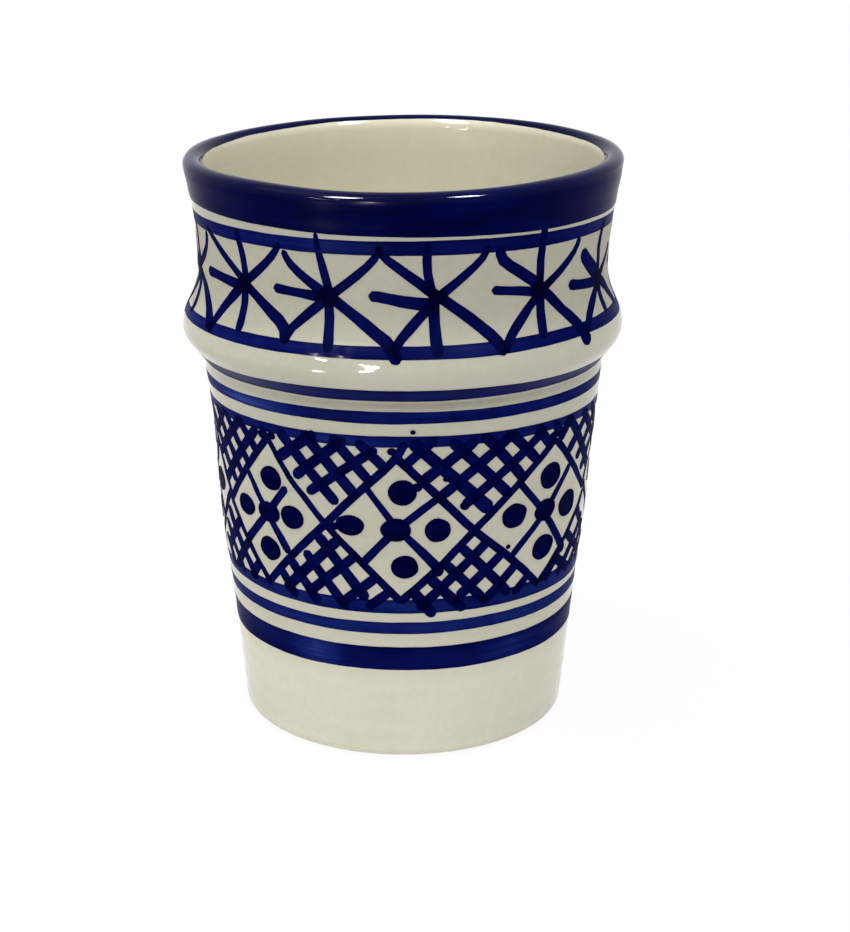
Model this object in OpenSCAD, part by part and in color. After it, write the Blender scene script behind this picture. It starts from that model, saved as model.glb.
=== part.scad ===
// Hand-thrown ceramic cup without a handle. The clay has a bead below the neck,
// a white glaze covers it inside and out, and blue decoration is brushed on:
// plain lines, a row of stars and a net with dotted diamonds.
// Millimetres, +Z up, origin on the table at the centre of the foot.

/* [Thrown form] */
// Radius of the bead at its crest, the widest place
bead_r = 40.8; // [38.6:0.2:44.4]
// How far the lip lies inside the bead's crest
lip_in = 0.7; // [0:0.1:2]
// How far the waist of the neck lies inside the bead's crest
waist_in = 2.9; // [1.8:0.1:4.4]
// How far the groove under the bead lies inside its crest
groove_in = 3.4; // [2:0.1:4.6]
// Radius of the wall just above the rounded foot
foot_r = 31; // [28:0.5:34]
// Height of the groove under the bead
groove_z = 70.2; // [62:0.2:80]
// Height from the groove to the crest of the bead
bead_rise = 5.8; // [4.6:0.2:8]
// Height from the crest of the bead to the waist of the neck
waist_rise = 11.5; // [9:0.5:14]
// Height from the waist of the neck to the top of the lip
neck_h = 20; // [18:0.5:26]
// Thickness of the lip
lip_t = 3.8; // [2.8:0.2:5]
// Height of the rounded top of the lip
lip_rise = 1.3; // [1:0.1:1.9]

/* [Wall, floor and foot] */
// Thickness of the wall at the floor
wall_t = 5; // [3.5:0.5:7]
// Thickness of the clay floor
floor_t = 6; // [4:0.5:9]
// Rounding between the wall and the floor inside
floor_round = 9; // [5:1:14]
// Rounding of the outer edge of the foot
foot_round = 2; // [1.2:0.2:3.5]
// Width of the ring that the cup stands on
foot_ring_w = 6; // [4:0.5:9]
// Depth of the trimmed recess inside that ring
recess_h = 1.2; // [0.6:0.2:2]

/* [Coats] */
// Thickness of the white glaze
glaze_t = 0.5; // [0.3:0.1:0.8]
// How far round the foot's edge the glaze runs, in degrees
glaze_run = 50; // [20:5:70]
// Thickness of the brushed paint
paint_t = 0.15; // [0.1:0.05:0.3]

/* [Lines round the neck] */
// Height of the rim band, down from the top of the lip
rim_band_w = 8.7; // [7:0.1:12]
// Depth of the rim band inside the cup, down from the rounded top of the lip
rim_band_in = 0.6; // [0.2:0.1:3]
// Glaze left bare between the rim band and the next line
rim_gap = 0.6; // [0.4:0.1:1.5]
// Width of the line above the stars
star_upper_w = 2.7; // [1.5:0.1:3.5]
// Width of the line below the stars
star_lower_w = 2.1; // [1.5:0.1:3]
// Height of that line's lower edge above the crest of the bead
star_lower_rise = 2.4; // [1:0.1:4]

/* [Lines round the body] */
// Width of the line in the groove
collar_w = 2.4; // [1.5:0.1:3]
// Glaze left bare between the groove and the shoulder line
shoulder_gap = 1.9; // [1:0.1:3]
// Width of the shoulder line
shoulder_w = 2.2; // [1.5:0.1:3]
// Glaze left bare between the shoulder line and the line above the net
lattice_upper_gap = 2.3; // [1:0.1:3.5]
// Width of the line above the net
lattice_upper_w = 1.7; // [1:0.1:3]
// Height of the lower edge of the foot band
foot_band_z = 18.3; // [12:0.1:22]
// Width of the foot band
foot_band_w = 4.7; // [3:0.1:6]
// Glaze left bare between the foot band and the foot line
foot_line_gap = 2.7; // [1.5:0.1:4]
// Width of the foot line
foot_line_w = 2.3; // [1.5:0.1:3]
// Glaze left bare between the foot line and the line below the net
lattice_lower_gap = 2.1; // [1:0.1:3.5]
// Width of the line below the net
lattice_lower_w = 2.6; // [1.5:0.1:3.5]

/* [Stars] */
// Stars round the neck
star_count = 13; // [11:1:15]
// Turn of the first star from the front, in degrees
star_turn = 9.5; // [0:0.5:25]
// Width of a star's strokes
star_stroke_w = 2.2; // [1.4:0.1:2.8]
// How far the side stroke reaches past the middle between two stars
star_ray_past = 0.8; // [0:0.1:2]

/* [Net of diamonds] */
// Diamonds round the body
diamond_count = 8; // [7:1:9]
// Turn of the first diamond from the front, in degrees
diamond_turn = 1.7; // [0.7:0.5:20.7]
// Hatched cells along one side of a diamond
hatch_count = 5; // [4:1:5]
// Width of the net's strokes
net_stroke_w = 1.7; // [1:0.1:1.9]
// Width of the edge where the net's strokes run into the lines above and below
net_edge_w = 0.3; // [0.2:0.1:0.6]
// Radius of the blob in the middle of a diamond
blob_r = 2.5; // [1.6:0.1:3]
// Radius of the dots in a diamond
dot_r = 2.4; // [1.4:0.1:2.6]

/* [Hidden] */
$fn = 96;

// Heights and radii of the thrown form
lip_r = bead_r - lip_in;
waist_r = bead_r - waist_in;
groove_r = bead_r - groove_in;
bead_z = groove_z + bead_rise;
waist_z = bead_z + waist_rise;
cup_h = waist_z + neck_h;
lip_half = lip_t / 2;
lip_z = cup_h - lip_rise;
lip_mid_r = lip_r - lip_half;

// Shape of the curves between those heights
bead_swell = 1.2;
bead_fall = 1.5;
neck_flare = 1.6;
bead_steps = 6;
waist_steps = 8;
neck_steps = 7;
lip_step = 15;
round_steps = 8;

// Inside of the cup
floor_z = recess_h + floor_t + glaze_t;
bowl_z = floor_z + floor_round;

// Heights of the painted lines, from the lip down, from the bead and the groove, and from the foot up
rim_band_z = cup_h - rim_band_w;
star_upper_top = rim_band_z - rim_gap;
star_top = star_upper_top - star_upper_w;
star_lower_bottom = bead_z + star_lower_rise;
star_bottom = star_lower_bottom + star_lower_w;
star_row_h = star_top - star_bottom;
shoulder_top = groove_z - shoulder_gap;
shoulder_bottom = shoulder_top - shoulder_w;
lattice_upper_top = shoulder_bottom - lattice_upper_gap;
net_top = lattice_upper_top - lattice_upper_w;
foot_band_top = foot_band_z + foot_band_w;
foot_line_bottom = foot_band_top + foot_line_gap;
foot_line_top = foot_line_bottom + foot_line_w;
lattice_lower_bottom = foot_line_top + lattice_lower_gap;
net_bottom = lattice_lower_bottom + lattice_lower_w;

// Reach of the cutting prisms to each side of the painted face
cut_reach = 4;

clay_colour = "tan";
glaze_colour = "ivory";
band_colour = "midnightblue";
line_colour = "royalblue";
stroke_colour = "navy";

// Radius of the glazed outside at a height
function thrown_r(z) =
    z <= groove_z ? foot_r + (groove_r - foot_r) * (z - foot_round) / (groove_z - foot_round) :
    z <= bead_z ? groove_r + (bead_r - groove_r) * pow(sin(90 * (z - groove_z) / bead_rise), bead_swell) :
    z <= waist_z ? waist_r + (bead_r - waist_r) * pow((1 + cos(180 * (z - bead_z) / waist_rise)) / 2, bead_fall) :
    waist_r + (lip_r - waist_r) * pow((z - waist_z) / (lip_z - waist_z), neck_flare);

// Heights at which the outline has a corner
outline_z = concat([foot_round],
    [for (i = [0 : bead_steps]) groove_z + bead_rise * i / bead_steps],
    [for (i = [1 : waist_steps]) bead_z + waist_rise * i / waist_steps],
    [for (i = [1 : neck_steps]) waist_z + (lip_z - waist_z) * i / neck_steps]);
outline = [for (z = outline_z) [z, thrown_r(z)]];

// Radius of the glazed outside as it is built, straight between the corners
function face_r(z) = lookup(z, outline);

bowl_r = face_r(bowl_z) - wall_t - floor_round;
lean = atan((lip_r - lip_t - bowl_r - floor_round) / (lip_z - bowl_z));

// Stretches of the outline, each moved out of the glazed face by a distance
function wall_path(out) = [for (p = outline) [p[1] + out, p[0]]];
function lip_path(out) = [for (a = [0 : lip_step : 180])
    [lip_mid_r + (lip_half + out) * cos(a), lip_z + (lip_rise + out) * sin(a)]];
function bowl_path(out) = [for (i = [0 : round_steps])
    let (a = -lean - (90 - lean) * i / round_steps)
    [bowl_r, bowl_z] + (floor_round - out) * [cos(a), sin(a)]];
function foot_path(out, run) = [for (i = [0 : round_steps])
    let (a = run * (i / round_steps - 1))
    [foot_r - foot_round + (foot_round + out) * cos(a), foot_round * (1 + sin(a))]];
function back(path) = [for (i = [len(path) - 1 : -1 : 0]) path[i]];

// The skin from the wall's foot over the lip to the middle of the floor
function skin_path(out) =
    concat(wall_path(out), lip_path(out), bowl_path(out), [[0, floor_z + out]]);

// A painted ring on the outside between two heights
module painted_ring(bottom, top) {
    heights = concat([bottom], [for (z = outline_z) if (z > bottom && z < top) z], [top]);
    inner = [for (z = heights) [face_r(z), z]];
    outer = [for (z = heights) [face_r(z) + paint_t, z]];
    rotate_extrude() polygon(concat(outer, back(inner)));
}

// A prism that crosses the painted face at an angle round the cup
module radial_prism(angle, r) {
    rotate([0, 0, angle]) translate([0, cut_reach - r, 0])
        rotate([90, 0, 0]) linear_extrude(2 * cut_reach) children();
}

module clay_body() {
    ring_inner_r = foot_r - foot_round - foot_ring_w;
    underside = [[0, recess_h], [ring_inner_r - recess_h, recess_h], [ring_inner_r, 0]];
    color(clay_colour) rotate_extrude()
        polygon(concat(underside, foot_path(-glaze_t, 90), skin_path(-glaze_t)));
}

module white_glaze() {
    outside = concat(foot_path(0, glaze_run), skin_path(0));
    inside = concat(foot_path(-glaze_t, glaze_run), skin_path(-glaze_t));
    color(glaze_colour) rotate_extrude() polygon(concat(outside, back(inside)));
}

// Path of the rim band, up the neck, over the lip and a little way down inside
function rim_path(out) =
    let (heights = concat([rim_band_z], [for (z = outline_z) if (z > rim_band_z && z < lip_z) z]),
        start = bowl_path(out)[0],
        end = [lip_mid_r - lip_half - out, lip_z],
        share = rim_band_in / (lip_z - start[1]))
    concat([for (z = heights) [face_r(z) + out, z]], lip_path(out), [end + (start - end) * share]);

module rim_band() {
    color(band_colour) rotate_extrude() polygon(concat(rim_path(paint_t), back(rim_path(0))));
}

module star_upper_line() {
    color(line_colour) painted_ring(star_top, star_upper_top);
}

module star_lower_line() {
    color(line_colour) painted_ring(star_lower_bottom, star_bottom);
}

module collar_line() {
    color(line_colour) painted_ring(groove_z, groove_z + collar_w);
}

module shoulder_line() {
    color(line_colour) painted_ring(shoulder_bottom, shoulder_top);
}

module lattice_upper_line() {
    color(line_colour) painted_ring(net_top, lattice_upper_top);
}

module lattice_lower_line() {
    color(line_colour) painted_ring(lattice_lower_bottom, net_bottom);
}

module foot_line() {
    color(line_colour) painted_ring(foot_line_bottom, foot_line_top);
}

module foot_band() {
    color(band_colour) painted_ring(foot_band_z, foot_band_top);
}

// Stars, left standing where the bare glaze between the strokes is cut away
module star_row() {
    pitch = 360 / star_count;
    hub_z = (star_top + star_bottom) / 2;
    r = face_r(hub_z);
    half_w = r * sin(pitch / 2);
    half_h = star_row_h / 2;
    diagonal = norm([half_w, half_h]);
    half_stroke = star_stroke_w / 2;
    over = half_stroke / 2;
    // Corners of the gap beside an upright stroke
    gap_hub = half_stroke * (diagonal + half_h) / half_w;
    gap_side = ((half_h + over) * half_w - half_stroke * diagonal) / half_h;
    // Corners of the gap between two stars, which the side stroke enters
    between_w = half_w - half_stroke * diagonal / half_h;
    between_h = half_h - half_stroke * diagonal / half_w;
    ray_root = between_w * (1 - half_stroke / between_h);
    color(stroke_colour) difference() {
        painted_ring(star_bottom, star_top);
        for (i = [0 : star_count - 1]) {
            for (side = [-1, 1], level = [-1, 1])
                radial_prism(star_turn + pitch * i, r) translate([0, hub_z])
                    polygon([[side * half_stroke, level * gap_hub],
                        [side * half_stroke, level * (half_h + over)],
                        [side * gap_side, level * (half_h + over)]]);
            radial_prism(star_turn + pitch * (i + 0.5), r) translate([0, hub_z])
                polygon([[-between_w, 0], [0, -between_h], [ray_root, -half_stroke],
                    [-star_ray_past, -half_stroke], [-star_ray_past, half_stroke],
                    [ray_root, half_stroke], [0, between_h]]);
        }
    }
}

// Steps of the net from one crossing to the next, round the cup and upwards
diamond_pitch = 360 / diamond_count;
net_mid_z = (net_bottom + net_top) / 2;
net_step_angle = diamond_pitch / 2 / hatch_count;
net_step_z = (net_top - net_bottom) / 2 / hatch_count;

// One bare cell of the net, its size in steps from its middle to its corners.
// A cell on the net's edge is halved there: its tip points up (1) or down (-1).
module net_cell(angle, z, steps, tip = 0) {
    r = face_r(z);
    half_w = r * sin(steps * net_step_angle);
    half_h = steps * net_step_z;
    across = 2 * half_w * half_h / norm([half_w, half_h]);
    bare = 1 - net_stroke_w / across;
    edge = net_edge_w / half_h;
    whole = [[half_w, 0], [0, half_h], [-half_w, 0], [0, -half_h]];
    halved = [[half_w * (1 - edge), half_h * edge * tip], [0, half_h * tip],
        [half_w * (edge - 1), half_h * edge * tip]];
    radial_prism(angle, r) translate([0, z]) polygon(bare * (tip == 0 ? whole : halved));
}

// Middles of the four cells of a diamond, as an angle and a height from its own middle
dot_places = [for (quarter = [0 : 3]) [cos(90 * quarter) * diamond_pitch / 4,
    sin(90 * quarter) * (net_top - net_bottom) / 4]];

module lattice_net() {
    color(stroke_colour) difference() {
        painted_ring(net_bottom, net_top);
        for (d = [0 : diamond_count - 1]) {
            middle = diamond_turn + diamond_pitch * d;
            // Hatched triangles above and below the place where two diamonds meet
            for (level = [-1, 1], i = [0 : hatch_count - 1], j = [0 : hatch_count - 1 - i])
                net_cell(middle + diamond_pitch / 2 + net_step_angle * (i - j),
                    net_mid_z + level * net_step_z * (i + j + 1), 1,
                    i + j == hatch_count - 1 ? -level : 0);
            // Four large cells of the diamond, which leave the blob in its middle
            difference() {
                for (place = dot_places)
                    net_cell(middle + place[0], net_mid_z + place[1], hatch_count / 2);
                radial_prism(middle, face_r(net_mid_z)) translate([0, net_mid_z]) circle(blob_r);
            }
        }
    }
}

module diamond_dots() {
    color(stroke_colour) intersection() {
        painted_ring(net_bottom, net_top);
        for (d = [0 : diamond_count - 1], place = dot_places)
            radial_prism(diamond_turn + diamond_pitch * d + place[0], face_r(net_mid_z + place[1]))
                translate([0, net_mid_z + place[1]]) circle(dot_r);
    }
}

clay_body();
white_glaze();
rim_band();
star_upper_line();
star_row();
star_lower_line();
collar_line();
shoulder_line();
lattice_upper_line();
lattice_net();
diamond_dots();
lattice_lower_line();
foot_line();
foot_band();
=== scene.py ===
# %% [markdown]
# # A painted cup, from the wheel to the brush
# The cup is one fired piece: thrown clay, a white glaze over it, and blue colour brushed
# on by hand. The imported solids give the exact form. This lesson puts the hand-made look
# on that form: a coat that is not quite round, lines with soft edges, and single strokes.

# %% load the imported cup
import math
import random

import bmesh
import bpy
import numpy as np
from mathutils import Matrix, Vector, noise


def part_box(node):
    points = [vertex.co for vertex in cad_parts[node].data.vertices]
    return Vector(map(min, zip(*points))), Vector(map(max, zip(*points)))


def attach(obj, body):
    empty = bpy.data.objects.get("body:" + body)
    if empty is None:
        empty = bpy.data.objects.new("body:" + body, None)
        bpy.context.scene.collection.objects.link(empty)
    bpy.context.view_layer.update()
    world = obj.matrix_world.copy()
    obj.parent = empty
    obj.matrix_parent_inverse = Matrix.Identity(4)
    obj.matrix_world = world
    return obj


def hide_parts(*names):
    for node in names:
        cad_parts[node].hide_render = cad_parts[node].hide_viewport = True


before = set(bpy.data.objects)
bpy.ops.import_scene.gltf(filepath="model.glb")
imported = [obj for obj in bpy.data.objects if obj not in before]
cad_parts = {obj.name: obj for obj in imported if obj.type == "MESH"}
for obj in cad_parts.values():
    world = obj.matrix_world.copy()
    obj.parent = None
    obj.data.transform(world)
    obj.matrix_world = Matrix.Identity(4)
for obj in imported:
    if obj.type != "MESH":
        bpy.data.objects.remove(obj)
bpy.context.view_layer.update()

MM = 0.001

# %% [markdown]
# ## Camera
# The photo was taken from close by and a little above the rim, so the mouth opens to an
# ellipse and the foot looks narrower than it is. Place, angles and lens were worked out
# from the outline and the painted lines. The cup stands left of the picture's middle, and
# a small lens shift frames it like that without turning the camera away.

# %% camera
PICTURE_W, PICTURE_H = 850, 932
FOCAL_PX = 1927.5
CENTRE_PX = (381.98, 431.19)
CAMERA_PLACE = Vector((0.0, -352.6, 161.3)) * MM
PITCH, YAW, ROLL = math.radians(16.989), math.radians(-0.648), math.radians(-0.253)

ahead = Vector((math.sin(YAW) * math.cos(PITCH), math.cos(YAW) * math.cos(PITCH), -math.sin(PITCH)))
level_right = Vector((math.cos(YAW), -math.sin(YAW), 0.0))
level_up = level_right.cross(ahead)
right = level_right * math.cos(ROLL) + level_up * math.sin(ROLL)
up = level_up * math.cos(ROLL) - level_right * math.sin(ROLL)

camera_data = bpy.data.cameras.new("camera")
camera_data.sensor_fit = "VERTICAL"
camera_data.sensor_height = 36.0
camera_data.lens = FOCAL_PX / PICTURE_H * camera_data.sensor_height
camera_data.shift_x = (PICTURE_W / 2 - CENTRE_PX[0]) / PICTURE_H
camera_data.shift_y = (CENTRE_PX[1] - PICTURE_H / 2) / PICTURE_H
camera_data.clip_start = 0.01
camera = bpy.data.objects.new("camera", camera_data)
bpy.context.scene.collection.objects.link(camera)
turn = Matrix((right, up, -ahead)).transposed()
camera.matrix_world = Matrix.Translation(CAMERA_PLACE) @ turn.to_4x4()
bpy.context.scene.camera = camera
print("lens, mm:", round(camera_data.lens, 2))

# %% [markdown]
# ## Floor and light
# A white sweep is the plainest studio. The floor is a real surface that takes the cup's
# shadow; for the camera and for reflections most of its colour is plain white. The light
# comes from all round and above, with a big soft panel on the left, so the left of the cup
# is a little lighter than the right.

# %% floor and surroundings
bpy.context.scene.view_settings.view_transform = "Standard"


def reckoned(tree, operation, first, second):
    """The result of a sum or the like on two numbers, each a socket or a plain number."""
    node = tree.nodes.new("ShaderNodeMath")
    node.operation = operation
    for socket, value in zip(node.inputs, (first, second)):
        if isinstance(value, float):
            socket.default_value = value
        else:
            tree.links.new(value, socket)
    return node.outputs[0]


def seen_directly(tree):
    """A number that is 1 for the camera and for reflections, and 0 for light that lights things."""
    path = tree.nodes.new("ShaderNodeLightPath").outputs
    either = reckoned(tree, "MAXIMUM", path["Is Camera Ray"], path["Is Glossy Ray"])
    return reckoned(tree, "MAXIMUM", either, path["Is Transmission Ray"])


FLOOR_SIZE, FLOOR_WHITE, PAPER_TONE = 8.0, 0.94, 0.8
floor_bm = bmesh.new()
bmesh.ops.create_grid(floor_bm, x_segments=1, y_segments=1, size=FLOOR_SIZE / 2)
floor_mesh = bpy.data.meshes.new("floor")
floor_bm.to_mesh(floor_mesh)
floor_bm.free()
floor = bpy.data.objects.new("floor", floor_mesh)
bpy.context.scene.collection.objects.link(floor)

floor_material = bpy.data.materials.new("floor_white")
floor_material.use_nodes = True
tree = floor_material.node_tree
tree.nodes.clear()
paper = tree.nodes.new("ShaderNodeBsdfDiffuse")
paper.inputs["Color"].default_value = (PAPER_TONE, PAPER_TONE, PAPER_TONE, 1.0)
white = tree.nodes.new("ShaderNodeEmission")
white.inputs["Strength"].default_value = 1.0
mix = tree.nodes.new("ShaderNodeMixShader")
out = tree.nodes.new("ShaderNodeOutputMaterial")
tree.links.new(reckoned(tree, "MULTIPLY", seen_directly(tree), FLOOR_WHITE), mix.inputs[0])
tree.links.new(paper.outputs[0], mix.inputs[1])
tree.links.new(white.outputs[0], mix.inputs[2])
tree.links.new(mix.outputs[0], out.inputs["Surface"])
floor_mesh.materials.append(floor_material)

HORIZON_LIGHT, ZENITH_LIGHT = 0.165, 1.65
world = bpy.data.worlds.new("studio")
world.use_nodes = True
bpy.context.scene.world = world
tree = world.node_tree
background = tree.nodes["Background"]
background.inputs["Color"].default_value = (1.0, 1.0, 1.0, 1.0)
direction = tree.nodes.new("ShaderNodeSeparateXYZ")
tree.links.new(tree.nodes.new("ShaderNodeTexCoord").outputs["Generated"], direction.inputs[0])
sky = tree.nodes.new("ShaderNodeMapRange")
sky.inputs["To Min"].default_value = HORIZON_LIGHT
sky.inputs["To Max"].default_value = ZENITH_LIGHT
tree.links.new(direction.outputs["Z"], sky.inputs["Value"])
level = tree.nodes.new("ShaderNodeMix")
level.inputs["B"].default_value = 1.0
tree.links.new(seen_directly(tree), level.inputs["Factor"])
tree.links.new(sky.outputs[0], level.inputs["A"])
tree.links.new(level.outputs[0], background.inputs["Strength"])
print("floor", FLOOR_SIZE, "m; light from the side and from above:", HORIZON_LIGHT, ZENITH_LIGHT)

# %% soft panel
AIM = Vector((0.0, 0.0, 70.0)) * MM
# Azimuth and elevation in degrees and distance in m, then width and height in m
PANEL_AT, PANEL_SIZE, PANEL_WATTS = (-65, 58, 0.9), (0.7, 0.7), 2.7


def panel(name, place, size, watts):
    """An oblong lamp at a place, turned to the middle of the cup."""
    data = bpy.data.lights.new(name, "AREA")
    data.shape = "RECTANGLE"
    data.size, data.size_y = size
    data.energy = watts
    lamp = bpy.data.objects.new(name, data)
    bpy.context.scene.collection.objects.link(lamp)
    lamp.location = place
    lamp.rotation_euler = (AIM - place).to_track_quat("-Z", "Y").to_euler()
    return lamp


def round_the_cup(azimuth, elevation, distance):
    """A place seen from the cup: azimuth 0 is the viewer's side, plus is to the right."""
    a, e = math.radians(azimuth), math.radians(elevation)
    return AIM + distance * Vector((math.sin(a) * math.cos(e), -math.cos(a) * math.cos(e), math.sin(e)))


soft = panel("panel_left", round_the_cup(*PANEL_AT), PANEL_SIZE, PANEL_WATTS)
print("panel at, m:", [round(c, 2) for c in soft.location])

# %% [markdown]
# ## The thrown form
# A potter pulls the wall up on a turning wheel, so every level is a circle: a straight
# wall, a groove, a bead, a waist and a flared lip. The same few radii and heights as in
# the solids give the outline here, so each painted piece lies on the same face.

# %% outline of the thrown form, mm
GLAZE_T = 0.5
FOOT_R, FOOT_ROUND, GLAZE_RUN = 31.0, 2.0, 50.0
GROOVE_Z, GROOVE_R, BEAD_SWELL = 70.2, 37.4, 1.2
BEAD_Z, BEAD_R, BEAD_FALL = 76.0, 40.8, 1.5
WAIST_Z, WAIST_R, NECK_FLARE = 87.5, 37.9, 1.6
CUP_H, LIP_R, LIP_HALF, LIP_RISE, LIP_SOFT = 107.5, 40.1, 1.9, 1.3, 1.2
LIP_Z, LIP_MID = CUP_H - LIP_RISE, LIP_R - LIP_HALF
FLOOR_Z, FLOOR_ROUND, BOWL_R = 7.7, 9.0, 18.38
BOWL_Z = FLOOR_Z + FLOOR_ROUND


def thrown_radius(z):
    """Radius of the glazed outside at a height."""
    if z <= GROOVE_Z:
        return FOOT_R + (GROOVE_R - FOOT_R) * (z - FOOT_ROUND) / (GROOVE_Z - FOOT_ROUND)
    if z <= BEAD_Z:
        rise = math.sin(math.pi / 2 * (z - GROOVE_Z) / (BEAD_Z - GROOVE_Z))
        return GROOVE_R + (BEAD_R - GROOVE_R) * rise ** BEAD_SWELL
    if z <= WAIST_Z:
        fall = (1 + math.cos(math.pi * (z - BEAD_Z) / (WAIST_Z - BEAD_Z))) / 2
        return WAIST_R + (BEAD_R - WAIST_R) * fall ** BEAD_FALL
    share = min((z - WAIST_Z) / (LIP_Z - WAIST_Z), 1.0)
    return WAIST_R + (LIP_R - WAIST_R) * share ** NECK_FLARE


glaze_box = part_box("white_glaze")
print("bead radius here and in the solid, mm:", BEAD_R, round(glaze_box[1].x / MM, 3))
print("height here and in the solid, mm:", CUP_H, round(glaze_box[1].z / MM, 3))

# %% [markdown]
# ## The hand in it
# No hand-thrown wall is a perfect circle. Fingers leave a faint spiral, the wall bulges by
# a few tenths of a millimetre, and the lip leans: it is lowest at the front, where the
# photo looks deeper into the mouth. The same two functions serve every piece, so that the
# colour always lies on the glaze and never floats.

# %% unevenness of the hand
# How far the wall bulges, mm, and how quickly that changes round the cup and up it
WALL_WOBBLE, WALL_PACE, WALL_RISE = 0.16, 1.3, 34
RING_DEPTH, RING_PITCH = 0.035, 4.3
# Places out of round: angle and height, reach in degrees and in mm, and how far out in mm
BULGES = [(-90, 96, 50, 5, -0.25), (-90, 76, 50, 5, 0.3), (-90, 58, 50, 9, -0.36), (-90, 36, 50, 8, 0.28),
          (90, 103, 50, 6, 0.27), (90, 76, 50, 5, 0.12), (90, 60, 50, 9, 0.14), (90, 40, 50, 9, 0.38)]
LEAN_FROM, LIP_DROP, LIP_LEAN, LIP_SIDE = 97.5, -0.1, 1.27, 0.25
LIP_WOBBLE, LIP_PACE, LIP_LEVEL = 0.12, 2.2, 9.0
# Places where the lip stands high or low: angle and reach in degrees, and how high in mm
LIP_HUMPS = [(-52, 25, 0.3), (52, 25, 0.3), (-33, 22, 0.2), (0, 16, 0.1), (35, 20, 0.07),
             (-100, 15, 0.3), (100, 15, 0.25), (-135, 16, -0.15)]


def apart(angle, other):
    """How far two angles lie apart, from 0 to 180 degrees."""
    return abs((angle - other + 180) % 360 - 180)


def kept(value):
    """A number kept between 0 and 1."""
    return min(1.0, max(0.0, value))


def fade(gap, reach):
    """1 at a place, falling away smoothly with the gap from it."""
    return math.exp(-(gap / reach) ** 2)


def spots(places, angle):
    """The sum at an angle of places that fade out: each an angle, its reach and its size."""
    return sum(size * fade(apart(angle, middle), reach) for middle, reach, size in places)


def noise_round(angle, pace, level):
    """Noise that joins up round the cup: how quickly it changes, and the level it is read at."""
    a = math.radians(angle)
    return noise.noise(Vector((pace * math.cos(a), pace * math.sin(a), level)))


def wobble(angle, z):
    """How far the wall stands out of round at an angle in degrees and a height, mm."""
    bulge = WALL_WOBBLE * noise_round(angle, WALL_PACE, z / WALL_RISE)
    for middle, level, reach, tall, size in BULGES:
        bulge += size * fade(apart(angle, middle), reach) * fade(z - level, tall)
    return bulge + RING_DEPTH * math.sin(2 * math.pi * (z / RING_PITCH + angle / 360))


def lip_shift(angle, z):
    """How far the leaning lip lifts the neck at an angle and a height, mm; none below the neck."""
    a, share = math.radians(angle), kept((z - LEAN_FROM) / (LIP_Z - LEAN_FROM))
    lean = LIP_DROP - LIP_LEAN * math.cos(a) + LIP_SIDE * math.sin(a)
    wave = LIP_WOBBLE * noise_round(angle, LIP_PACE, LIP_LEVEL) + spots(LIP_HUMPS, angle)
    return share * share * (3 - 2 * share) * (lean + wave)


def angle_of(place):
    """Angle round the cup of a place: 0 is the front, plus is to the viewer's right."""
    return math.degrees(math.atan2(place.x, -place.y))


def round_cup(angle, radius, z):
    """A point at an angle in degrees, a radius and a height in mm."""
    a = math.radians(angle)
    return Vector((radius * math.sin(a), -radius * math.cos(a), z)) * MM


def on_cup(angle, z, lift=0.0):
    """A point of the glazed outside, or lifted out of it."""
    return round_cup(angle, thrown_radius(z) + wobble(angle, z) + lift, z + lip_shift(angle, z))


print("wobble at four places, mm:", [round(wobble(a, 50), 3) for a in (0, 90, 180, 270)])

# %% [markdown]
# ## Sparkles
# A sparkle is a lamp seen in the glaze as in a mirror. A ray from the camera to the sparkle
# is mirrored there, and where it goes on is where the lamp must hang. The bead bends much
# more upright than round the cup, so a small sparkle needs a tall lamp: each one is put
# together from upright slats, planned from the angles and heights that their images fill.
# Two boxes hang higher, for the glints on the lip. None of these lamps lights the cup.

# %% lamps for the sparkles
# How far away the slats hang, m, and how brightly slats and boxes shine
SLAT_AWAY, SLAT_GLOW, BOX_GLOW = 0.2, 120.0, 380.0
# Slats of each sparkle: left and right angle, lower and upper height
WINDOW = [(-21.3, -19.8, 77.85, 78.08), (-19.8, -18.3, 77.68, 77.9), (-22.5, -22, 75.35, 75.5),
          (-22, -21.4, 75.5, 75.75), (-21.4, -18.9, 75.68, 75.86)]
ARROW = [(-10.3, -9.6, 77.3, 77.6), (-10.3, -9.6, 76.05, 76.35), (-9.6, -8.7, 77.1, 77.5),
         (-9.6, -8.7, 76, 76.4), (-8.7, -7.8, 76.15, 77.4), (-7.8, -6.9, 76.4, 77.35),
         (-6.9, -5.8, 76.9, 77.3)]
SPECKS = [(-22.1, -21.1, 78.35, 78.75), (-15.4, -14.5, 78.4, 78.75)]
# Boxes: azimuth in degrees and width in m; then the height in m, elevation and distance of both
BOXES = [(-38.5, 0.19), (39.5, 0.165)]
BOX_TALL, BOX_ELEVATION, BOX_AWAY = 0.3, 52, 1.0
# Small steps, in degrees and mm, that give the slope of the wall
STEP_ROUND, STEP_UP = 0.1, 0.05


def mirrored(angle, z):
    """The place of a lamp that the camera sees mirrored at a place of the outside."""
    place = on_cup(angle, z)
    across = on_cup(angle + STEP_ROUND, z) - on_cup(angle - STEP_ROUND, z)
    upward = on_cup(angle, z + STEP_UP) - on_cup(angle, z - STEP_UP)
    normal = across.cross(upward).normalized()
    ray = (place - CAMERA_PLACE).normalized()
    return place + SLAT_AWAY * (ray - 2 * ray.dot(normal) * normal)


def only_mirrored(lamp):
    """Keeps a lamp for reflections: it lights nothing and is not seen itself."""
    lamp.visible_diffuse = False
    lamp.visible_camera = False


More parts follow.
